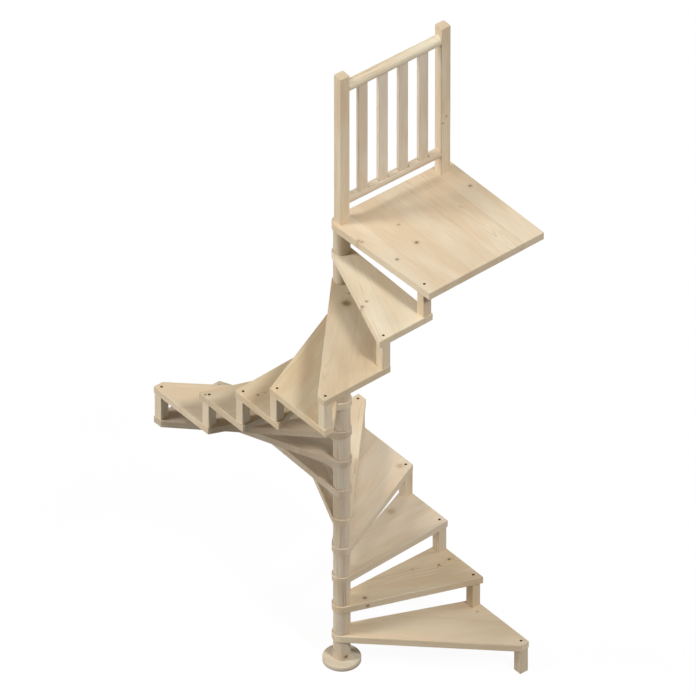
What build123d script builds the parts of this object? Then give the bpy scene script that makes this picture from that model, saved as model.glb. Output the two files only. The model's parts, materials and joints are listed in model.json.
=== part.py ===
from build123d import *
import os
from math import acos, atan2, cos, degrees, hypot, radians, sin

# Square-plan wooden spiral stair: winder treads threaded on a centre column of turned spacers,
# each one carried outside by a short square post, up to a landing with a balustrade.
# The origin is the centre of the base plate's underside, on the column axis. The stair climbs
# anticlockwise seen from above. Lengths are millimetres and angles are degrees.

# Heights and plan
floor_to_floor = 2800.0  # floor to the landing's top
riser_count = 15
tread_turn = 22.5  # from one tread to the next, counted back from the landing's screw on +X
plan_half = 653.0  # column axis to the treads' outer edges
landing_overhang = 45.0  # landing's far edges beyond the treads'

# Treads and landing
tread_thickness = 41.0
landing_thickness = 44.0
eye_diameter = 100.0  # round end on the column
edge_overlap = 32.0  # tread edge beyond a screw's ray, at the outer edge
corner_overlap = 39.0  # the same where the ray runs to a corner of the plan
landing_overlap = 29.0  # landing edge beyond its own screw's ray
board_corner = 4.0  # radius of the outer corners in plan
board_arris = 2.5

# Centre column
spacer_diameter = 86.0
spacer_arris = 2.0
base_diameter = 192.0
base_thickness = 24.0
base_arris = 4.0
rod_diameter = 20.0
rod_clearance = 0.3  # between the rod and its bores, on the radius
rod_end_depth = 120.0  # into the column's newel
rod_foot = 6.0  # wood left under the rod's end

# Outer posts and their screws
post_size = 49.5
post_setback = 3.5  # post face behind the treads' outer edge
post_arris = 2.5
screw_hole = 6.0
screw_counterbore = 13.0
screw_counterbore_depth = 14.0

# Balustrade
newel_size = 55.5
newel_height = 915.5  # above the landing
newel_arris = 3.0
newel_head_radius = 2.5
newel_inset = 75.0  # outer newel's centre inside the landing's far edge
handrail_diameter = 58.0
handrail_drop = 82.5  # rail's centre below the newels' heads
bottom_rail_diameter = 52.0
bottom_rail_height = 124.0  # rail's centre above the landing
baluster_count = 4
baluster_width = 55.0
baluster_thickness = 22.5
baluster_arris = 2.0
seat_depth = 9.0  # flat for a baluster's end, below the rail's crown
seat_gap = 4.0  # flat left free beside the baluster on both sides

# Worked out
riser = floor_to_floor / riser_count
tread_count = riser_count - 1
eye_radius = eye_diameter / 2
rod_bore_radius = rod_diameter / 2 + rod_clearance
post_centre = plan_half - post_setback - post_size / 2
landing_reach = plan_half + landing_overhang
newel_spacing = landing_reach - newel_inset
handrail_height = newel_height - handrail_drop

os.makedirs("parts", exist_ok=True)


def save(part, name):
    part.label = name
    export_step(part, f"parts/{name}.step")


def top_of(step):
    """Height of a tread's top, or of the floor for step 0."""
    return step * riser


def thickness_of(step):
    return landing_thickness if step == riser_count else tread_thickness


def screw_angle(step):
    return 360 - tread_turn * (riser_count - step)


def on_square(angle, half, aside=0.0):
    """Where a line beside the ray at this angle, aside anticlockwise of it, meets a square."""
    along_x, along_y = cos(radians(angle)), sin(radians(angle))
    start_x, start_y = -aside * along_y, aside * along_x
    reach = []
    if abs(along_x) > 1e-9:
        reach.append((half - start_x if along_x > 0 else -half - start_x) / along_x)
    if abs(along_y) > 1e-9:
        reach.append((half - start_y if along_y > 0 else -half - start_y) / along_y)
    travel = min(reach)
    return (start_x + travel * along_x, start_y + travel * along_y)


def post_place(step):
    """Centre of the outer post that carries this tread, and of the screw above it."""
    return on_square(screw_angle(step), post_centre)


def overlap_at(angle):
    """Overlap at a ray's outer end, larger where the ray runs to a corner of the plan."""
    return corner_overlap if round(angle % 90, 3) == 45 else edge_overlap


def anticlockwise(first, second):
    """True where the second point lies up to half a turn anticlockwise of the first."""
    return first[0] * second[1] - first[1] * second[0] > 0


def eye_tangent(point, turn):
    """Touching point on the eye of a straight edge from this point, turn +1 anticlockwise."""
    spread = degrees(acos(eye_radius / hypot(*point)))
    angle = radians(degrees(atan2(point[1], point[0])) + turn * spread)
    return (eye_radius * cos(angle), eye_radius * sin(angle))


def board(outer, bottom, thickness):
    """Board whose two straight edges run from the outer points onto the round eye."""
    nose, heel = eye_tangent(outer[0], -1), eye_tangent(outer[-1], 1)
    middle_x, middle_y = outer[0][0] + outer[-1][0], outer[0][1] + outer[-1][1]
    scale = -eye_radius / hypot(middle_x, middle_y)
    with BuildPart() as blank:
        with BuildSketch(Plane.XY.offset(bottom)):
            with BuildLine():
                Polyline(nose, *outer, heel)
                ThreePointArc(heel, (scale * middle_x, scale * middle_y), nose)
            make_face()
        extrude(amount=thickness)
        corners = [
            edge
            for edge in blank.edges().filter_by(Axis.Z)
            if hypot(edge.center().X, edge.center().Y) > eye_diameter
        ]
        fillet(corners, board_corner)
        chamfer(blank.faces().filter_by(Axis.Z).edges(), board_arris)
    return blank


def drilled(blank, step):
    """The board with the rod's bore at its eye and the screw's counterbored hole outside."""
    top = top_of(step)
    with BuildPart() as piece:
        add(blank.part)
        with Locations((0, 0, top)):
            Hole(rod_bore_radius)
        with Locations((*post_place(step), top)):
            CounterBoreHole(
                screw_hole / 2, screw_counterbore / 2, screw_counterbore_depth
            )
    return piece


# Base plate
with BuildPart() as base_plate:
    with BuildSketch():
        Circle(base_diameter / 2)
    extrude(amount=base_thickness)
    rim = base_plate.faces().sort_by(Axis.Z)[-1].edges()
    chamfer(rim, base_arris)
    with Locations((0, 0, base_thickness)):
        Hole(rod_bore_radius, base_thickness - rod_foot)
save(base_plate.part, "base_plate")

# Centre column, one spacer under each tread and one under the landing
for step in range(1, riser_count + 1):
    seat = base_thickness if step == 1 else top_of(step - 1)
    with BuildPart() as spacer:
        with BuildSketch(Plane.XY.offset(seat)):
            Circle(spacer_diameter / 2)
        extrude(amount=top_of(step) - thickness_of(step) - seat)
        chamfer(spacer.edges().filter_by(GeomType.CIRCLE), spacer_arris)
        with Locations((0, 0, seat)):
            Hole(rod_bore_radius)
    save(spacer.part, f"spacer_{step:02d}")

# Treads, each cut off at the plan's outer square, round its corner where it reaches one
plan_corners = [on_square(angle, plan_half) for angle in (45, 135, 225, 315)]
for step in range(1, tread_count + 1):
    front, back = screw_angle(step), screw_angle(step + 1)
    nose = on_square(front, plan_half, -overlap_at(front))
    heel = on_square(back, plan_half, overlap_at(back))
    kept = [c for c in plan_corners if anticlockwise(nose, c) and anticlockwise(c, heel)]
    blank = board([nose, *kept, heel], top_of(step) - tread_thickness, tread_thickness)
    save(drilled(blank, step).part, f"tread_{step:02d}")

# Landing
landing_near = (landing_reach, -landing_overlap)
landing_far = (-landing_overlap, landing_reach)
landing_bottom = floor_to_floor - landing_thickness
blank = board(
    [landing_near, (landing_reach, landing_reach), landing_far],
    landing_bottom,
    landing_thickness,
)
save(drilled(blank, riser_count).part, "landing")

# Outer posts, one node for the corners of the plan and one for each side
side_names = ["posts_back", "posts_left", "posts_front", "posts_right"]


def post_group(step):
    angle = screw_angle(step)
    if round(angle % 90, 3) == 45:
        return "posts_corner"
    return side_names[int((angle - 45) // 90) % 4]


for name in ["posts_corner", *side_names]:
    with BuildPart() as posts:
        for step in range(1, riser_count + 1):
            if post_group(step) == name:
                foot = top_of(step - 1)
                with BuildSketch(Plane.XY.offset(foot)):
                    with Locations(post_place(step)):
                        RectangleRounded(post_size, post_size, post_arris)
                extrude(amount=top_of(step) - thickness_of(step) - foot)
    save(posts.part, name)

# Centre rod, from inside the base plate up into the column's newel
with BuildPart() as centre_rod:
    with BuildSketch(Plane.XY.offset(rod_foot)):
        Circle(rod_diameter / 2)
    extrude(amount=floor_to_floor + rod_end_depth - rod_foot)
save(centre_rod.part, "centre_rod")

# Balustrade, beside the landing's left edge and parallel to it
edge_start = Vector(*eye_tangent(landing_far, 1))
balustrade = Plane(
    origin=(0, 0, floor_to_floor),
    x_dir=Vector(*landing_far) - edge_start,
    z_dir=(0, 0, 1),
)
baluster_pitch = newel_spacing / (baluster_count + 1)


def newel(distance):
    """Square newel with its edges rounded, this far along the balustrade."""
    with BuildPart() as post:
        with BuildSketch(balustrade):
            with Locations((distance, 0)):
                Rectangle(newel_size, newel_size)
        extrude(amount=newel_height)
        fillet(post.edges().filter_by(Axis.Z), newel_arris)
        head = post.faces().sort_by(Axis.Z)[-1].edges()
        fillet(head, newel_head_radius)
    return post


def seat_level(height, diameter, side):
    """Level of the flats on a rail's side, 1 for its top and -1 for its underside."""
    return height + side * (diameter / 2 - seat_depth)


def rail(height, diameter, side):
    """Round rail between the newels, cut flat on one side where the balusters meet it."""
    ends = Plane(
        origin=balustrade.from_local_coords((newel_size / 2, 0, height)),
        x_dir=balustrade.y_dir,
        z_dir=balustrade.x_dir,
    )
    with BuildPart() as bar:
        with BuildSketch(ends):
            Circle(diameter / 2)
        extrude(amount=newel_spacing - newel_size)
        with BuildSketch(balustrade.offset(seat_level(height, diameter, side))):
            with Locations(*baluster_places):
                Rectangle(baluster_width + 2 * seat_gap, diameter)
        extrude(amount=side * diameter / 2, mode=Mode.SUBTRACT)
    return bar


baluster_places = [(baluster_pitch * (i + 1), 0) for i in range(baluster_count)]
baluster_foot = seat_level(bottom_rail_height, bottom_rail_diameter, 1)
baluster_head = seat_level(handrail_height, handrail_diameter, -1)

with BuildPart() as newel_column:
    add(newel(0).part)
    with Locations((0, 0, floor_to_floor)):
        Cylinder(
            rod_bore_radius,
            rod_end_depth + rod_clearance,
            align=(Align.CENTER, Align.CENTER, Align.MIN),
            mode=Mode.SUBTRACT,
        )
save(newel_column.part, "newel_column")
save(newel(newel_spacing).part, "newel_outer")

save(rail(handrail_height, handrail_diameter, -1).part, "handrail")
save(rail(bottom_rail_height, bottom_rail_diameter, 1).part, "bottom_rail")

with BuildPart() as balusters:
    with BuildSketch(balustrade.offset(baluster_foot)):
        with Locations(*baluster_places):
            Rectangle(baluster_width, baluster_thickness)
    extrude(amount=baluster_head - baluster_foot)
    long_edges = balusters.edges().filter_by(Axis.Z)
    fillet(long_edges, baluster_arris)
save(balusters.part, "balusters")
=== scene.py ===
# %% [markdown]
# # A square spiral stair in spruce
# The stair is raw spruce throughout: glued winder boards threaded on a column of turned spacers, short
# square posts under their outer ends, and a landing with a round-railed balustrade. Its shapes come from
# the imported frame, one object for each piece of wood or group of like pieces, so this lesson is mostly
# about the wood itself: how a solid pattern of growth rings is made once and then laid along the grain of
# every stick.

import json
from math import cos, radians, sin, tau

import bmesh
import bpy
from mathutils import Matrix, Vector

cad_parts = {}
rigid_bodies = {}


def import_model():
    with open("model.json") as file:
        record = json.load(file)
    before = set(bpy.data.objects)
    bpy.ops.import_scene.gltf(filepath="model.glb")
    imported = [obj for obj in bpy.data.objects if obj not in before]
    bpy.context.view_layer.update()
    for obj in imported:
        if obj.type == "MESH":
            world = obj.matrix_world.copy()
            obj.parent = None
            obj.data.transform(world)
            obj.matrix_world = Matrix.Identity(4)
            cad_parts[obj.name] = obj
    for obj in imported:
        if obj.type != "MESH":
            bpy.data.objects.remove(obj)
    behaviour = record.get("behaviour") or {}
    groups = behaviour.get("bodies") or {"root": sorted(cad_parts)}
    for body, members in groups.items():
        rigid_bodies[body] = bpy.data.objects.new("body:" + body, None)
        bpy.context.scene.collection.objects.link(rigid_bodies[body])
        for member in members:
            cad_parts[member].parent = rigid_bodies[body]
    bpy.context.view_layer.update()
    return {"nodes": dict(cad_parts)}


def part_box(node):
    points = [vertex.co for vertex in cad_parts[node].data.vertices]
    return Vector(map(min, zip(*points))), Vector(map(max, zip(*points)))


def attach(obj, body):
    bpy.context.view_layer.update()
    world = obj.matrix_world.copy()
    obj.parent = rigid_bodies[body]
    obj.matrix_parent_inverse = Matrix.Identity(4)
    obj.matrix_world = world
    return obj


for spare in list(bpy.data.objects):
    bpy.data.objects.remove(spare)

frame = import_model()
stair = frame["nodes"]
print("pieces of the stair:", len(stair))

# %% [markdown]
# The boards and posts repeat up the stair, so a few sizes are read from the frame once and reused.
# Everything climbs by one riser and turns by one sixteenth of a circle from step to step, and the landing
# takes the place of the fifteenth tread.

# %% Sizes of the stair
landing_step = 15
tread_turn = radians(22.5)
tread_names = {step: f"tread_{step:02d}" for step in range(1, landing_step)}
board_names = {**tread_names, landing_step: "landing"}


def top_of(step):
    """Height of a board's walking face."""
    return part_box(board_names[step])[1].z


def screw_ray(step):
    """Direction in plan from the column to a board's screw, anticlockwise from X."""
    return -tread_turn * (landing_step - step)


riser = top_of(2) - top_of(1)
back_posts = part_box("posts_back")
post_centre = (back_posts[0].y + back_posts[1].y) / 2


def screw_place(step):
    """Centre of a board's screw hole, on its top face, over the post that carries it."""
    ray = screw_ray(step)
    reach = post_centre / max(abs(cos(ray)), abs(sin(ray)))
    return Vector((reach * cos(ray), reach * sin(ray), top_of(step)))


print(f"riser {riser * 1000:.1f} mm, posts {post_centre * 1000:.1f} mm from the axis on both sides")

# %% [markdown]
# The camera looks down on the stair from its front corner. A short lens would make the lower treads
# smaller than the landing, and a catalogue view keeps parallel edges parallel. A parallel camera could do
# that too, but a very long lens from far away looks the same and still works when the view is turned.

# %% Camera
view_turn = radians(50.162)
view_height = radians(39.925)
view_distance = 160.2
aim_across = 0.0304
aim_height = 1.993

towards_camera = Vector(
    (sin(view_turn) * cos(view_height), -cos(view_turn) * cos(view_height), sin(view_height))
)
across_view = Vector((cos(view_turn), sin(view_turn), 0))
aim = across_view * aim_across + Vector((0, 0, aim_height))

lens = bpy.data.cameras.new("long_lens")
lens.sensor_width = 36
lens.lens = 1700
lens.clip_start = view_distance / 2
lens.clip_end = view_distance * 2
camera = bpy.data.objects.new("camera", lens)
camera.location = aim + towards_camera * view_distance
camera.rotation_euler = towards_camera.to_track_quat("Z", "Y").to_euler()
bpy.context.scene.collection.objects.link(camera)
bpy.context.scene.camera = camera
print("camera", tuple(round(value, 2) for value in camera.location))

# %% [markdown]
# Node trees are easier to read when a node is one line. The first helper puts a node in a tree, sets its
# options, and fills each input with either a value or the output of another node. The others are short
# names for what every pattern needs: arithmetic, parts of a vector, chance numbers, moving a value from
# one range to another, and laying one colour over another.


# %% Helpers for node trees
def put(tree, kind, inputs=None, **options):
    """A node of this kind, with its options set and its inputs given values or linked."""
    node = tree.nodes.new(kind)
    for name, value in options.items():
        setattr(node, name, value)
    for key, value in (inputs or {}).items():
        if isinstance(value, bpy.types.NodeSocket):
            tree.links.new(value, node.inputs[key])
        else:
            node.inputs[key].default_value = value
    return node


def calc(tree, operation, *values):
    """The result of a Math node."""
    return put(tree, "ShaderNodeMath", dict(enumerate(values)), operation=operation).outputs[0]


def vector(tree, operation, *values):
    """The result of a Vector Math node, its length where that is what was asked for."""
    node = put(tree, "ShaderNodeVectorMath", dict(enumerate(values)), operation=operation)
    return node.outputs["Value" if operation == "LENGTH" else "Vector"]


def axis_of(tree, value, axis):
    """One of a vector's three parts."""
    return put(tree, "ShaderNodeSeparateXYZ", {0: value}).outputs[axis]


def draws(tree, seed):
    """A chance number for a seed, and a colour that holds three more."""
    return put(tree, "ShaderNodeTexWhiteNoise", {"W": seed}, noise_dimensions="1D").outputs


def rescale(tree, value, low, high, to_low=0.0, to_high=1.0):
    """A value taken smoothly from one range to another and held at its ends."""
    inputs = {0: value, 1: low, 2: high, 3: to_low, 4: to_high}
    return put(tree, "ShaderNodeMapRange", inputs, interpolation_type="SMOOTHSTEP").outputs[0]


def lay_over(tree, amount, under, over, mode="MIX"):
    """One colour laid over another by an amount."""
    node = put(tree, "ShaderNodeMix", data_type="RGBA", blend_type=mode)
    for socket, value in zip((node.inputs[0], node.inputs[6], node.inputs[7]), (amount, under, over)):
        if isinstance(value, bpy.types.NodeSocket):
            tree.links.new(value, socket)
        else:
            socket.default_value = value
    return node.outputs[2]


def new_group(name, inputs, outputs):
    """An empty node group, with the sockets that it reads and fills."""
    group = bpy.data.node_groups.new(name, "ShaderNodeTree")
    for socket, kind in inputs.items():
        group.interface.new_socket(socket, in_out="INPUT", socket_type="NodeSocket" + kind)
    for socket, kind in outputs.items():
        group.interface.new_socket(socket, in_out="OUTPUT", socket_type="NodeSocket" + kind)
    given = group.nodes.new("NodeGroupInput").outputs
    wanted = group.nodes.new("NodeGroupOutput").inputs
    return group, given, wanted


print("node helpers ready")

# %% [markdown]
# The studio is a white sweep. The lamps must not be turned up to make it white, because the pale wood
# would burn out first. The floor is a plain grey that lights the wood from below, and only the rays that
# come from the camera, or by way of a mirror or glass, see it nearly white. A little of its real shading
# is kept in that white, so the stair still has a faint shadow to stand on. The world behind it is built
# the same way.

# %% White studio
white = (1.0, 1.0, 1.0, 1.0)
floor_grey = (0.31, 0.31, 0.31, 1)
shadow_catching_grey = (0.95, 0.95, 0.95, 1)
glow_strength = 1.02
glow_share = 0.93
sky_strength = 0.03
floor_half = 60.0


def seen_directly(tree):
    """One for rays from the camera, or by way of a mirror or glass, and nothing for the rest."""
    rays = put(tree, "ShaderNodeLightPath").outputs
    mirrored = calc(tree, "MAXIMUM", rays["Is Glossy Ray"], rays["Is Transmission Ray"])
    return calc(tree, "MAXIMUM", rays["Is Camera Ray"], mirrored)


def floor_material():
    """Grey for the light that it throws back, and nearly white to the camera."""
    material = bpy.data.materials.new("studio_floor")
    material.use_nodes = True
    tree = material.node_tree
    tree.nodes.clear()
    grey = put(tree, "ShaderNodeBsdfDiffuse", {"Color": floor_grey}).outputs[0]
    catcher = put(tree, "ShaderNodeBsdfDiffuse", {"Color": shadow_catching_grey}).outputs[0]
    glow = put(tree, "ShaderNodeEmission", {"Color": white, "Strength": glow_strength}).outputs[0]
    shadowed = put(tree, "ShaderNodeMixShader", {0: glow_share, 1: catcher, 2: glow}).outputs[0]
    chosen = put(tree, "ShaderNodeMixShader", {0: seen_directly(tree), 1: grey, 2: shadowed}).outputs[0]
    put(tree, "ShaderNodeOutputMaterial", {"Surface": chosen})
    return material


def make_floor():
    """A wide flat floor under the stair."""
    shape = bmesh.new()
    bmesh.ops.create_grid(shape, x_segments=1, y_segments=1, size=floor_half)
    mesh = bpy.data.meshes.new("studio_floor")
    shape.to_mesh(mesh)
    shape.free()
    mesh.materials.append(floor_material())
    piece = bpy.data.objects.new("studio_floor", mesh)
    bpy.context.scene.collection.objects.link(piece)
    return piece


make_floor()

world = bpy.data.worlds.new("white_studio")
world.use_nodes = True
bpy.context.scene.world = world
sky = world.node_tree
sky.nodes.clear()
soft_sky = put(sky, "ShaderNodeBackground", {"Color": white, "Strength": sky_strength})
white_sky = put(sky, "ShaderNodeBackground", {"Color": white, "Strength": 1.0})
both = {0: seen_directly(sky), 1: soft_sky.outputs[0], 2: white_sky.outputs[0]}
shown_sky = put(sky, "ShaderNodeMixShader", both)
put(sky, "ShaderNodeOutputWorld", {"Surface": shown_sky.outputs[0]})
bpy.context.scene.view_settings.view_transform = "Standard"
print("floor and world are white to the camera")

# %% [markdown]
# Two soft lamps stand high on opposite sides, one to the right of the stair and one at its front left, so
# that each tread throws a soft shadow on the one below without any side going black. A third, low and
# broad, fills the faces of the boards' edges and the posts, and two weaker ones open the shadows from
# behind and from above. Sun lamps are used because their light is even from the base plate to the
# landing, and their angle sets how soft the shadows are.


# %% Lamps
def lamp(name, turn, height, strength, softness):
    """A distant soft lamp that shines from this direction, with angles in degrees."""
    light = bpy.data.lights.new(name, "SUN")
    light.energy = strength
    light.angle = radians(softness)
    piece = bpy.data.objects.new(name, light)
    level = cos(radians(height))
    source = Vector((level * cos(radians(turn)), level * sin(radians(turn)), sin(radians(height))))
    piece.rotation_euler = source.to_track_quat("Z", "Y").to_euler()
    bpy.context.scene.collection.objects.link(piece)
    print(name, "shines at", strength)


lamp("right_key", turn=0, height=48, strength=1.66, softness=14)
lamp("left_key", turn=240, height=52, strength=1.22, softness=14)
lamp("low_fill", turn=240, height=4, strength=1.85, softness=30)
lamp("back_fill", turn=60, height=42, strength=0.52, softness=14)
lamp("overhead", turn=0, height=90, strength=0.30, softness=8)

# %% [markdown]
# Spruce is pale, with thin darker rings of late growth. Painting such lines on a face gives it away at the
# ends and edges, because the same rings have to meet there. So the wood is a solid pattern: every point
# asks how far it is from the tree's pith, and the rings are bands of that distance. A face cut along the
# rings then shows broad flames, a face cut across them shows fine stripes, and the end grain shows arcs,
# all from one pattern. The tree isn't perfect: its pith wanders, it tapers, some rings are stronger than
# others and fade along the stem, and a branch pushes the rings aside.
#
# Two inputs let one pattern serve every stick. The tint is a tone that the whole colour is multiplied by,
# because boards from different trees are paler, greyer or browner. The figure says how boldly the rings
# show. Where a face turns over an arris, hands have left the wood a little darker.

# %% Spruce as a solid pattern
ring_width = 0.0038
taper = 0.012
pith_wander = 0.055
ring_ripple = 0.0022
way_to_next_tree = (3.7, 1.9, 2.3)
years_between_trees = 31.7
fresh_wood = (0.795, 0.668, 0.485, 1)
warm_wood = (0.74, 0.582, 0.393, 1)
late_wood = (0.50, 0.34, 0.20, 1)
knot_wood = (0.20, 0.125, 0.065, 1)
halo_wood = (0.53, 0.40, 0.23, 1)
end_wood = (0.60, 0.445, 0.285, 1)
handled_wood = (0.55, 0.43, 0.29, 1)
plain = (1.0, 1.0, 1.0, 1)
pale = (1.07, 1.12, 1.16, 1)
ashen = (1.02, 1.06, 1.18, 1)
cool = (0.96, 1.03, 1.11, 1)
greyish = (0.91, 0.925, 0.97, 1)
dusky = (0.82, 0.815, 0.83, 1)
honey = (0.98, 0.95, 0.88, 1)
brownish = (0.90, 0.89, 0.86, 1)


def grain_noise(tree, place, along, across, detail):
    """Soft noise drawn out along the grain, with so many waves a metre along it and across it."""
    stretched = vector(tree, "MULTIPLY", place, (along, across, across))
    return put(tree, "ShaderNodeTexNoise", {"Vector": stretched, "Scale": 1.0, "Detail": detail}).outputs


def ring_radius(tree, place, place_in_tree, given):
    """Distance from the pith, with all that keeps a real tree's rings from being true circles."""
    drift = grain_noise(tree, place_in_tree, 1.3, 4.0, 1.5)["Color"]
    wander = vector(tree, "SUBTRACT", drift, (0.5, 0.5, 0.5))
    wander = vector(tree, "MULTIPLY", wander, (0.0, pith_wander, pith_wander))
    level = vector(tree, "MULTIPLY", vector(tree, "SUBTRACT", place, given["Pith"]), (0.0, 1.0, 1.0))
    radius = vector(tree, "LENGTH", vector(tree, "ADD", level, wander))
    radius = calc(tree, "MULTIPLY_ADD", axis_of(tree, place, "X"), taper, radius)
    ripple = grain_noise(tree, place_in_tree, 7.0, 40.0, 1.0)[0]
    radius = calc(tree, "MULTIPLY_ADD", ripple, ring_ripple, radius)
    return calc(tree, "ADD", radius, given["Lift"])


def late_growth(tree, place_in_tree, radius, seed):
    """How dark the rings are at a point. Each year darkens slowly and ends at once."""
    years = calc(tree, "DIVIDE", radius, ring_width)
    season = calc(tree, "FRACT", years)
    mark = calc(tree, "MULTIPLY_ADD", seed, years_between_trees, calc(tree, "FLOOR", years))
    luck = draws(tree, mark)["Value"]
    strength = rescale(tree, calc(tree, "POWER", luck, 4.0), 0.0, 1.0, 0.15, 1.0)
    darkening = rescale(tree, season, 0.45, 0.9)
    ending = rescale(tree, season, 0.94, 1.0, 1.0, 0.0)
    late = calc(tree, "MULTIPLY", calc(tree, "MULTIPLY", darkening, ending), strength)
    fading = grain_noise(tree, place_in_tree, 6.0, 22.0, 1.0)[0]
    return calc(tree, "MULTIPLY", late, rescale(tree, fading, 0.4, 0.6, 0.25, 1.6))


def spruce_group():
    """Colour, roughness and relief of spruce, whose grain runs along X."""
    sockets_in = {"Place": "Vector", "Normal": "Vector", "Pith": "Vector", "Seed": "Float"}
    sockets_in |= {"Lift": "Float", "Knot": "Float", "Halo": "Float", "Arris": "Float"}
    sockets_in |= {"Tint": "Color", "Figure": "Float"}
    sockets_out = {"Color": "Color", "Roughness": "Float", "Relief": "Float"}
    tree, given, wanted = new_group("spruce", sockets_in, sockets_out)
    place, seed = given["Place"], given["Seed"]

    other_tree = vector(tree, "SCALE", way_to_next_tree)
    tree.links.new(seed, other_tree.node.inputs["Scale"])
    place_in_tree = vector(tree, "ADD", place, other_tree)
    radius = ring_radius(tree, place, place_in_tree, given)
    late = late_growth(tree, place_in_tree, radius, seed)

    cloud = grain_noise(tree, place_in_tree, 2.2, 9.0, 2.0)[0]
    fibre = grain_noise(tree, place_in_tree, 9.0, 240.0, 3.0)[0]
    colour = lay_over(tree, rescale(tree, cloud, 0.35, 0.7), fresh_wood, warm_wood)
    colour = lay_over(tree, calc(tree, "MULTIPLY", late, given["Figure"]), colour, late_wood)
    shade = rescale(tree, fibre, 0.3, 0.7, 0.955, 1.04)
    stick = rescale(tree, draws(tree, seed)["Value"], 0.0, 1.0, 0.97, 1.025)
    shade = calc(tree, "MULTIPLY", shade, stick)
    shade = vector(tree, "MULTIPLY", given["Tint"], shade)
    colour = lay_over(tree, 1.0, colour, shade, "MULTIPLY")

    facing = calc(tree, "ABSOLUTE", axis_of(tree, given["Normal"], "X"))
    end_grain = rescale(tree, facing, 0.6, 0.95)
    colour = lay_over(tree, calc(tree, "MULTIPLY", end_grain, 0.25), colour, end_wood)
    colour = lay_over(tree, calc(tree, "MULTIPLY", given["Arris"], 0.45), colour, handled_wood)
    colour = lay_over(tree, given["Halo"], colour, halo_wood)
    colour = lay_over(tree, given["Knot"], colour, knot_wood)
    tree.links.new(colour, wanted["Color"])

    dull = rescale(tree, cloud, 0.3, 0.7, 0.56, 0.68)
    dull = calc(tree, "MULTIPLY_ADD", late, -0.08, dull)
    dull = calc(tree, "MULTIPLY_ADD", given["Arris"], -0.12, dull)
    tree.links.new(calc(tree, "MULTIPLY_ADD", given["Knot"], -0.15, dull), wanted["Roughness"])
    relief = calc(tree, "MULTIPLY_ADD", late, 0.5, calc(tree, "MULTIPLY", fibre, 0.7))
    tree.links.new(calc(tree, "MULTIPLY_ADD", given["Knot"], 0.6, relief), wanted["Relief"])
    return tree


spruce = spruce_group()
print("spruce pattern:", len(spruce.nodes), "nodes")

# %% [markdown]
# A knot is the stub of a branch. In a board it shows as an eye, darkest at its heart, with a brown halo,
# and the rings bend round it. The branch goes straight through the board, so its knot shows on both faces.
# Random knots would be quicker, but they turn up on edges and screw holes where a joiner would never leave
# them, so each one is listed by its distance along the grain and across it.


# %% Knots
def knot_group():
    """How dark a knot is at a point, how brown round it, and how far it pushes the rings aside."""
    sockets_in = {"Place": "Vector", "Centre": "Vector", "Radius": "Float", "Darkness": "Float"}
    sockets_out = {"Knot": "Float", "Halo": "Float", "Lift": "Float"}
    tree, given, wanted = new_group("knot", sockets_in, sockets_out)
    offset = vector(tree, "SUBTRACT", given["Place"], given["Centre"])
    offset = vector(tree, "MULTIPLY", offset, (1.0, 1.0, 0.0))
    rough = put(tree, "ShaderNodeTexNoise", {"Vector": given["Place"], "Scale": 90.0, "Detail": 1.0})
    distance = calc(tree, "DIVIDE", vector(tree, "LENGTH", offset), given["Radius"])
    distance = calc(tree, "MULTIPLY_ADD", rough.outputs[0], 0.6, distance)
    eye = calc(tree, "MULTIPLY", rescale(tree, distance, 0.9, 1.35, 1.0, 0.0), given["Darkness"])
    heart = rescale(tree, distance, 0.45, 1.0, 1.0, 0.65)
    tree.links.new(calc(tree, "MULTIPLY", eye, heart), wanted["Knot"])
    halo = rescale(tree, distance, 1.0, 2.6, 0.55, 0.0)
    tree.links.new(halo, wanted["Halo"])
    push = calc(tree, "EXPONENT", calc(tree, "MULTIPLY", calc(tree, "MULTIPLY", distance, distance), -0.16))
    tree.links.new(calc(tree, "MULTIPLY", calc(tree, "MULTIPLY", push, given["Radius"]), 1.4), wanted["Lift"])
    return tree


knot = knot_group()


def add_knots(tree, place, knots, so_far=(0.0, 0.0, 0.0)):
    """The knots of one stick taken together. Each is (along, across, radius, darkness)."""
    dark, brown, lift = so_far
    for along, across, radius, darkness in knots:
        inputs = {"Place": place, "Centre": (along, across, 0), "Radius": radius, "Darkness": darkness}
        one = put(tree, "ShaderNodeGroup", inputs, node_tree=knot).outputs
        dark = calc(tree, "MAXIMUM", dark, one["Knot"])
        brown = calc(tree, "MAXIMUM", brown, one["Halo"])
        lift = calc(tree, "ADD", lift, one["Lift"])
    return dark, brown, lift


print("knot pattern:", len(knot.nodes), "nodes")

# %% [markdown]
# Every piece of wood gets the same ending: its place and its faces' directions are turned until the grain
# lies along X, the ring pattern is asked for its colour, and a Principled shader carries it. The turning
# is a Mapping node on Object coordinates, so the pattern stays in the wood wherever the piece goes.

# %% From pattern to material
# Dark colour of the glue lines, and also of the painted shade in the counterbores, at the spacers' ends and
# on the base plate's rim.
glue_and_shade_colour = (0.10, 0.055, 0.03, 1)


def start_wood(name, along, across, centre):
    """A new material, with place and face direction in a frame whose X lies along the grain."""
    material = bpy.data.materials.new(name)
    material.use_nodes = True
    tree = material.node_tree
    tree.nodes.clear()
    turn = Matrix((along, across, along.cross(across)))
    spots = put(tree, "ShaderNodeTexCoord").outputs
    angles = tuple(turn.to_euler())
    shift = tuple(turn @ -centre)
    moved = {"Vector": spots["Object"], "Rotation": angles, "Location": shift}
    place = put(tree, "ShaderNodeMapping", moved).outputs[0]
    turned = {"Vector": spots["Normal"], "Rotation": angles}
    facing = put(tree, "ShaderNodeMapping", turned, vector_type="VECTOR").outputs[0]
    return material, tree, place, facing


def arris_mask(tree, facing, axis):
    """One halfway round the edge between a face along this axis and a face across it, and none on either."""
    part = axis_of(tree, facing, axis)
    square = calc(tree, "MULTIPLY", part, part)
    return calc(tree, "MULTIPLY", calc(tree, "SUBTRACT", 1.0, square), calc(tree, "MULTIPLY", square, 4.0))


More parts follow.
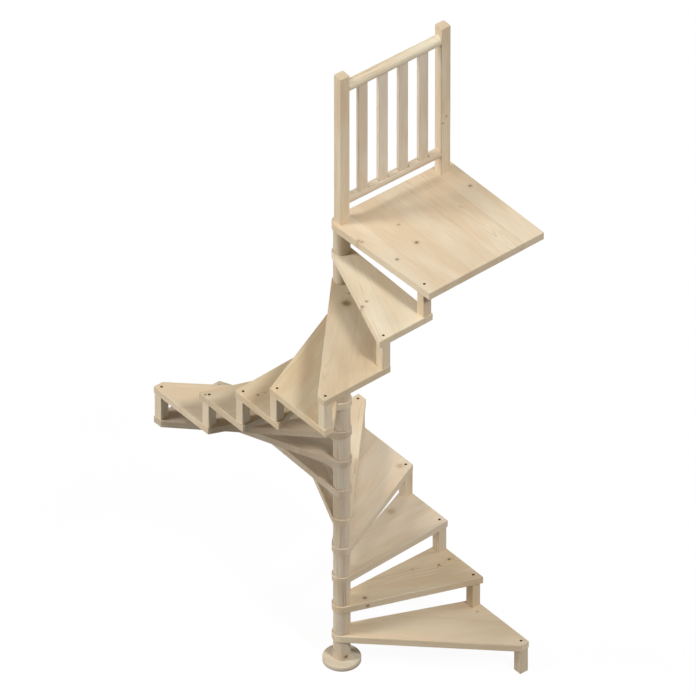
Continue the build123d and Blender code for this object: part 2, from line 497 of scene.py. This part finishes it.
def finish_wood(tree, place, facing, pith, seed, knots, arris, tint=plain, figure=0.5, glue_and_shade=None, side=()):
    """Spruce at this place in its tree, on a Principled shader. Figure is how bold the rings are.

    Side knots belong to branches that run across the piece, so they are placed along it and through it.
    """
    dark, brown, lift = add_knots(tree, place, knots)
    if side:
        from_side = {0: axis_of(tree, place, "X"), 1: axis_of(tree, place, "Z")}
        from_side = put(tree, "ShaderNodeCombineXYZ", from_side).outputs[0]
        dark, brown, lift = add_knots(tree, from_side, side, (dark, brown, lift))
    inputs = {"Place": place, "Normal": facing, "Pith": pith, "Seed": seed}
    inputs |= {"Lift": lift, "Knot": dark, "Halo": brown, "Arris": arris, "Tint": tint, "Figure": figure}
    wood = put(tree, "ShaderNodeGroup", inputs, node_tree=spruce).outputs
    colour = wood["Color"]
    # Real glue lines and painted shade darken the colour here.
    if glue_and_shade is not None:
        colour = lay_over(tree, glue_and_shade, colour, glue_and_shade_colour)
    relief = {"Height": wood["Relief"], "Distance": 0.0004, "Strength": 0.5}
    bump = put(tree, "ShaderNodeBump", relief).outputs[0]
    shader = {"Base Color": colour, "Roughness": wood["Roughness"], "Normal": bump}
    shader["Specular IOR Level"] = 0.35
    surface = put(tree, "ShaderNodeBsdfPrincipled", shader).outputs[0]
    put(tree, "ShaderNodeOutputMaterial", {"Surface": surface})


def dress(node, material):
    """Gives a piece of the stair its material."""
    slots = stair[node].data.materials
    slots.clear()
    slots.append(material)


print("wood materials can be made")

# %% [markdown]
# A winder board is wider than any spruce plank, so it is glued up from staves, and its grain runs along
# the nosing. Each stave has its own pith, some way below it, and its own tone. Most staves are plain and a
# few have bold rings, which the square of a chance number gives. The thin dark line between two staves is
# the glue joint. Inside a screw's counterbore the wood is darkened with painted shade, so the hole reads
# as a dark spot from any side.
#
# The table gives every board its tint, its figure, where its first joint lies and its knots. One branch ran
# across the second board instead of through it, so its knot shows on the nose, and its place is given
# along the grain and below the top.

# %% Glued boards
stave_width = 0.17
glue_line = 0.0011
bore_radius = 0.0068
bore_edge = 0.0007
board_seed = 200.0
seeds_for_each_board = 7.0
boldest_ring = 2.2
board_finish = {
    1: (plain, 0.25, 0.135, [(0.65, 0.20, 0.006, 0.5)]),
    2: (
        brownish,
        0.35,
        0.055,
        [
            (0.115, -0.010, 0.0115, 1.0),
            (0.537, 0.12, 0.0075, 1.0),
            (0.598, 0.147, 0.0095, 1.0),
            (0.402, 0.127, 0.007, 0.3),
        ],
    ),
    3: (greyish, 0.2, 0.15, [(0.481, 0.20, 0.019, 0.3)]),
    4: (greyish, 0.3, 0.048, [(0.652, 0.021, 0.015, 0.35)]),
    5: (plain, 0.3, 0.09, [(0.42, 0.10, 0.008, 0.7)]),
    6: (greyish, 0.4, 0.02, [(0.30, 0.02, 0.007, 0.7), (0.55, 0.13, 0.008, 0.5)]),
    7: (dusky, 0.4, 0.12, [(0.48, 0.05, 0.008, 0.6)]),
    8: (dusky, 0.45, 0.07, [(0.36, 0.08, 0.007, 0.7)]),
    9: (plain, 0.3, 0.14, [(0.62, 0.16, 0.009, 0.5)]),
    10: (brownish, 0.35, 0.04, [(0.696, -0.004, 0.0065, 1.0)]),
    11: (honey, 0.3, 0.11, [(0.588, 0.066, 0.0075, 0.9), (0.55, 0.074, 0.006, 0.25)]),
    12: (honey, 0.5, 0.155, [(0.33, 0.19, 0.008, 0.5)]),
    13: (brownish, 0.35, 0.10, [(0.177, 0.038, 0.027, 0.85), (0.10, 0.044, 0.007, 0.6)]),
    14: (pale, 0.15, 0.06, [(0.407, 0.0, 0.007, 0.8), (0.44, -0.033, 0.009, 0.9)]),
    15: (
        plain,
        0.75,
        0.06,
        [
            (0.360, 0.173, 0.0115, 1.0),
            (0.398, 0.018, 0.009, 1.0),
            (0.197, 0.65, 0.009, 0.9),
            (0.201, 0.193, 0.008, 0.45),
            (0.170, -0.036, 0.009, 0.45),
            (0.187, -0.029, 0.009, 0.5),
        ],
    ),
}
nose_knots = {2: [(0.119, -0.022, 0.0095, 1.0)]}


def glued_board(step):
    """Material of one tread or of the landing."""
    tint, figure, joint, knots = board_finish[step]
    ray = screw_ray(step)
    along = Vector((cos(ray), sin(ray), 0))
    across = Vector((-sin(ray), cos(ray), 0))
    top = Vector((0, 0, top_of(step)))
    material, tree, place, facing = start_wood(f"spruce_board_{step:02d}", along, across, top)

    count = calc(tree, "DIVIDE", calc(tree, "SUBTRACT", axis_of(tree, place, "Y"), joint), stave_width)
    stave = calc(tree, "FLOOR", count)
    seed = calc(tree, "ADD", stave, board_seed + step * seeds_for_each_board)
    chance = put(tree, "ShaderNodeSeparateXYZ", {0: draws(tree, seed)["Color"]}).outputs
    middle = calc(tree, "ADD", stave, rescale(tree, chance["X"], 0.0, 1.0, 0.25, 0.75))
    pith_side = calc(tree, "MULTIPLY_ADD", middle, stave_width, joint)
    pith_depth = rescale(tree, chance["Y"], 0.0, 1.0, -0.05, -0.13)
    pith = put(tree, "ShaderNodeCombineXYZ", {1: pith_side, 2: pith_depth}).outputs[0]
    bold = calc(tree, "MULTIPLY", calc(tree, "POWER", chance["Z"], 2.0), figure * boldest_ring)

    to_joint = calc(tree, "ABSOLUTE", calc(tree, "SUBTRACT", count, calc(tree, "ROUND", count)))
    glue = rescale(tree, to_joint, 0.0, glue_line / stave_width, 0.32, 0.0)
    hole = screw_place(step) - top
    from_hole = vector(tree, "SUBTRACT", place, (hole.length, 0, 0))
    from_hole = vector(tree, "LENGTH", vector(tree, "MULTIPLY", from_hole, (1.0, 1.0, 0.0)))
    # Painted shade inside the screw's counterbore.
    painted_bore_shade = rescale(tree, from_hole, bore_radius, bore_radius + bore_edge, 1.0, 0.0)
    # The glue lines are real dark joints, and the counterbore's darkening is painted shade.
    glue_and_shade = calc(tree, "MAXIMUM", glue, calc(tree, "MULTIPLY", painted_bore_shade, 0.9))
    arris = arris_mask(tree, facing, "Z")
    on_nose = nose_knots.get(step, ())
    finish_wood(tree, place, facing, pith, seed, knots, arris, tint, bold, glue_and_shade=glue_and_shade, side=on_nose)
    return material


for step, name in board_names.items():
    dress(name, glued_board(step))
print("boards dressed:", len(board_names))

# %% [markdown]
# The spacers are turned from square sticks and the posts are sawn from longer ones, so their grain stands
# upright. One material serves each kind. The height of a piece says which step it stands on, and that
# number picks its own pith and tone. Each spacer is darkened with painted shade where it meets the boards
# above and below it, and the lowest spacer has two knots, the larger one near its foot. The five lowest
# posts are darkened with painted shade, and three halfway up are lightened with painted light. A post's
# pith has to be measured from the middle of that post, so the place is first folded back from the outer
# square onto one post.

# %% Turned spacers and square posts
upright = Vector((0, 0, 1))
side_offset = abs(screw_place(2).x)
spacer_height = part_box("spacer_02")[1].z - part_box("spacer_02")[0].z
foot_tolerance = 0.002
spacer_seed = 200.0
post_seed = 300.0
# The five lowest posts are given painted shade, and three halfway up are given painted light.
shaded_posts = 5
lit_posts_middle = 8
spacer_knots = [(0.075, -0.012, 0.006, 0.8)]
spacer_side_knots = [(0.047, -0.0075, 0.0115, 1.0)]


def pith_near(tree, seed, nearest, furthest):
    """A pith to one side of a stick's middle, different for each seed."""
    chance = put(tree, "ShaderNodeSeparateXYZ", {0: draws(tree, seed)["Color"]}).outputs
    reach = rescale(tree, chance["X"], 0.0, 1.0, nearest, furthest)
    turn = calc(tree, "MULTIPLY", chance["Y"], tau)
    side = calc(tree, "MULTIPLY", reach, calc(tree, "COSINE", turn))
    depth = calc(tree, "MULTIPLY", reach, calc(tree, "SINE", turn))
    return put(tree, "ShaderNodeCombineXYZ", {1: side, 2: depth}).outputs[0]


def step_below(tree, height):
    """Number of the step that a piece stands on, 0 for the floor."""
    over_joint = calc(tree, "ADD", height, foot_tolerance)
    return calc(tree, "FLOOR", calc(tree, "DIVIDE", over_joint, riser))


def fold_to_post(tree, value):
    """Distance from the middle of the nearest post, along one side of the plan."""
    value = calc(tree, "ABSOLUTE", value)
    beyond_middle = calc(tree, "GREATER_THAN", value, side_offset / 2)
    at_corner = calc(tree, "GREATER_THAN", value, (side_offset + post_centre) / 2)
    value = calc(tree, "MULTIPLY_ADD", beyond_middle, -side_offset, value)
    return calc(tree, "MULTIPLY_ADD", at_corner, side_offset - post_centre, value)


def turned_spruce():
    """Material of all the spacers."""
    material, tree, place, facing = start_wood("spruce_turned", upright, Vector((1, 0, 0)), Vector())
    height = axis_of(tree, place, "X")
    step = step_below(tree, height)
    seed = calc(tree, "ADD", step, spacer_seed)
    pith = pith_near(tree, seed, 0.02, 0.09)
    above_board = calc(tree, "SUBTRACT", height, calc(tree, "MULTIPLY", step, riser))
    to_end = calc(tree, "MINIMUM", above_board, calc(tree, "SUBTRACT", spacer_height, above_board))
    # Painted shade at both ends of each spacer, where it meets the boards.
    painted_shade = rescale(tree, to_end, 0.001, 0.006, 0.35, 0.0)
    knots, side_knots = spacer_knots, spacer_side_knots
    finish_wood(tree, place, facing, pith, seed, knots, 0.0, greyish, 1.1, glue_and_shade=painted_shade, side=side_knots)
    return material


def sawn_posts():
    """Material of all the outer posts."""
    material, tree, place, facing = start_wood("spruce_posts", upright, Vector((1, 0, 0)), Vector())
    parts = put(tree, "ShaderNodeSeparateXYZ", {0: place}).outputs
    step = step_below(tree, parts["X"])
    seed = calc(tree, "ADD", step, post_seed)
    folded = {0: parts["X"], 1: fold_to_post(tree, parts["Y"]), 2: fold_to_post(tree, parts["Z"])}
    on_post = put(tree, "ShaderNodeCombineXYZ", folded).outputs[0]
    pith = pith_near(tree, seed, 0.02, 0.08)
    # Painted shade on the five lowest posts, painted light on three halfway up.
    shaded_low_posts = calc(tree, "LESS_THAN", step, shaded_posts - 0.5)
    lit_middle_posts = calc(tree, "COMPARE", step, lit_posts_middle, 1.5)
    tint = lay_over(tree, calc(tree, "MULTIPLY", shaded_low_posts, 0.55), plain, dusky)
    tint = lay_over(tree, lit_middle_posts, tint, pale)
    finish_wood(tree, on_post, facing, pith, seed, [], arris_mask(tree, facing, "Y"), tint, 0.7)
    return material


turned = turned_spruce()
for step in range(1, landing_step + 1):
    dress(f"spacer_{step:02d}", turned)

posts = sawn_posts()
post_nodes = [name for name in stair if name.startswith("posts_")]
for name in post_nodes:
    dress(name, posts)
print("spacers and groups of posts dressed:", landing_step, len(post_nodes))

# %% [markdown]
# The base plate is turned from a plank, so its grain lies flat and its rim shows end grain on two sides.
# It stands on the floor, and the lower part of its rim is darkened with painted shade.

# %% Base plate
base_top = Vector((0, 0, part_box("base_plate")[1].z))
base_seed = 411.0


def plank_disc():
    """Material of the base plate."""
    along, across = Vector((0.94, 0.34, 0)), Vector((-0.34, 0.94, 0))
    material, tree, place, facing = start_wood("spruce_base", along, across, base_top)
    # Painted shade on the lower part of the rim, darker towards the floor.
    painted_shade = rescale(tree, axis_of(tree, place, "Z"), -base_top.z, -base_top.z / 3, 0.4, 0.0)
    arris = arris_mask(tree, facing, "Z")
    finish_wood(tree, place, facing, (0, 0.03, -0.07), base_seed, [], arris, cool, glue_and_shade=painted_shade)
    return material


dress("base_plate", plank_disc())
print("base plate is", round(base_top.z * 1000), "mm thick")

# %% [markdown]
# The balustrade stands a little off square, along the landing's edge, so its sticks are turned by the line
# between the two newels. The newels and balusters have upright grain and the round rails have theirs
# along them. All four balusters share a material, folded onto one of them as the posts were.

# %% Balustrade
newel_foot = [(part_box(name)[0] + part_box(name)[1]) / 2 for name in ("newel_column", "newel_outer")]
balustrade_run = newel_foot[1] - newel_foot[0]
rail_line = balustrade_run.normalized()
rail_side = upright.cross(rail_line)
baluster_pitch = balustrade_run.length / 5
baluster_seed = 500.0


def newel_post(node, centre, seed, pith, knots=()):
    """Material of a newel, its pith this far along the rails' line and aside of it."""
    material, tree, place, facing = start_wood(f"spruce_{node}", upright, rail_line, centre)
    finish_wood(tree, place, facing, (0, *pith), seed, knots, arris_mask(tree, facing, "Y"))
    return material


def round_rail(node, seed, pith, tint):
    """Material of a rail, its pith this far aside of it and above it."""
    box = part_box(node)
    middle = (box[0] + box[1]) / 2
    material, tree, place, facing = start_wood(f"spruce_{node}", rail_line, rail_side, middle)
    finish_wood(tree, place, facing, (0, *pith), seed, [], 0.0, tint)
    return material


def balusters():
    """Material of the four balusters."""
    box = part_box("balusters")
    foot = Vector((newel_foot[0].x, newel_foot[0].y, box[0].z))
    material, tree, place, facing = start_wood("spruce_balusters", upright, rail_line, foot)
    parts = put(tree, "ShaderNodeSeparateXYZ", {0: place}).outputs
    number = calc(tree, "ROUND", calc(tree, "DIVIDE", parts["Y"], baluster_pitch))
    seed = calc(tree, "ADD", number, baluster_seed)
    folded = calc(tree, "MULTIPLY_ADD", number, -baluster_pitch, parts["Y"])
    on_one = put(tree, "ShaderNodeCombineXYZ", {0: parts["X"], 1: folded, 2: parts["Z"]}).outputs[0]
    pith = pith_near(tree, seed, 0.03, 0.09)
    finish_wood(tree, on_one, facing, pith, seed, [], arris_mask(tree, facing, "Y"), ashen)
    return material


outer_knots = [(-0.135, -0.019, 0.005, 1.0), (-0.10, 0.002, 0.006, 0.35)]
inner_newel = newel_post("newel_column", newel_foot[0], seed=601.0, pith=(0.05, 0.02))
outer_newel = newel_post("newel_outer", newel_foot[1], seed=602.0, pith=(-0.03, 0.05), knots=outer_knots)
dress("newel_column", inner_newel)
dress("newel_outer", outer_newel)
dress("handrail", round_rail("handrail", seed=603.0, pith=(0.02, -0.05), tint=pale))
dress("bottom_rail", round_rail("bottom_rail", seed=604.0, pith=(-0.03, -0.04), tint=greyish))
dress("balusters", balusters())
print(f"balustrade is {balustrade_run.length * 1000:.0f} mm between its newels")

# %% [markdown]
# Steel is simpler. The screws and the rod inside the column are dark, with a fine mottle in their
# roughness where the plating is worn.


# %% Steel
def dark_steel():
    """Plated steel, worn a little."""
    material = bpy.data.materials.new("dark_steel")
    material.use_nodes = True
    tree = material.node_tree
    tree.nodes.clear()
    place = put(tree, "ShaderNodeTexCoord").outputs["Object"]
    mottle = put(tree, "ShaderNodeTexNoise", {"Vector": place, "Scale": 420.0, "Detail": 3.0}).outputs[0]
    colour = lay_over(tree, mottle, (0.10, 0.085, 0.07, 1), (0.24, 0.21, 0.17, 1))
    dull = rescale(tree, mottle, 0.3, 0.7, 0.32, 0.55)
    bump = put(tree, "ShaderNodeBump", {"Height": mottle, "Distance": 0.0001, "Strength": 0.4}).outputs[0]
    shader = {"Base Color": colour, "Roughness": dull, "Normal": bump, "Metallic": 1.0}
    surface = put(tree, "ShaderNodeBsdfPrincipled", shader).outputs[0]
    put(tree, "ShaderNodeOutputMaterial", {"Surface": surface})
    return material


steel = dark_steel()
dress("centre_rod", steel)
print("steel ready")

# %% [markdown]
# A cap screw sits in each counterbore, nine millimetres down, and runs through the board into its post.
# Its half outline is spun once round, a hexagon is bridged into the head for the key, and the finished
# screw is copied to its fifteen places in one mesh. A plain cylinder would do for the dark spot that is
# seen from afar, but not for someone who leans over the step.

# %% Screws
screw_sides = 18
head_top = -0.009
screw_outline = [
    (0.0036, head_top),
    (0.0048, head_top),
    (0.0056, head_top - 0.0009),
    (0.0056, -0.0139),
    (0.0028, -0.0139),
    (0.0028, -0.070),
    (0.0006, -0.076),
]
below_rim = head_top - 0.001
socket_radius = 0.003
socket_depth = 0.003


def one_screw():
    """A cap screw with a hexagonal socket, its axis on Z and the board's top at zero."""
    shape = bmesh.new()
    line = [shape.verts.new((reach, 0, height)) for reach, height in screw_outline]
    edges = [shape.edges.new(pair) for pair in zip(line, line[1:])]
    bmesh.ops.spin(
        shape,
        geom=line + edges,
        axis=(0, 0, 1),
        cent=(0, 0, 0),
        angle=tau,
        steps=screw_sides,
        use_merge=True,
    )
    open_edges = [edge for edge in shape.edges if edge.is_boundary]
    rim = [edge for edge in open_edges if edge.verts[0].co.z > below_rim]
    tip = [edge for edge in open_edges if edge.verts[0].co.z < below_rim]
    bmesh.ops.contextual_create(shape, geom=tip)
    at_rim = Matrix.Translation((0, 0, head_top))
    hexagon = bmesh.ops.create_circle(shape, segments=6, radius=socket_radius, matrix=at_rim)["verts"]
    hex_edges = list({edge for vert in hexagon for edge in vert.link_edges})
    bmesh.ops.bridge_loops(shape, edges=rim + hex_edges)
    wall = bmesh.ops.extrude_edge_only(shape, edges=hex_edges)["geom"]
    floor_verts = [item for item in wall if isinstance(item, bmesh.types.BMVert)]
    bmesh.ops.translate(shape, verts=floor_verts, vec=(0, 0, -socket_depth))
    floor_edges = [edge for edge in shape.edges if edge.is_boundary]
    bmesh.ops.contextual_create(shape, geom=floor_edges)
    bmesh.ops.recalc_face_normals(shape, faces=shape.faces)
    return shape


def all_screws():
    """The fifteen screws as one piece."""
    shape = one_screw()
    pattern = list(shape.verts) + list(shape.edges) + list(shape.faces)
    for step in board_names:
        copy = bmesh.ops.duplicate(shape, geom=pattern)["geom"]
        moved = [item for item in copy if isinstance(item, bmesh.types.BMVert)]
        bmesh.ops.translate(shape, verts=moved, vec=screw_place(step))
    bmesh.ops.delete(shape, geom=[item for item in pattern if isinstance(item, bmesh.types.BMVert)])
    mesh = bpy.data.meshes.new("screws")
    shape.to_mesh(mesh)
    shape.free()
    mesh.materials.append(steel)
    piece = bpy.data.objects.new("screws", mesh)
    bpy.context.scene.collection.objects.link(piece)
    return piece


screws = all_screws()
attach(screws, "root")
print("faces of the screws:", len(screws.data.polygons))
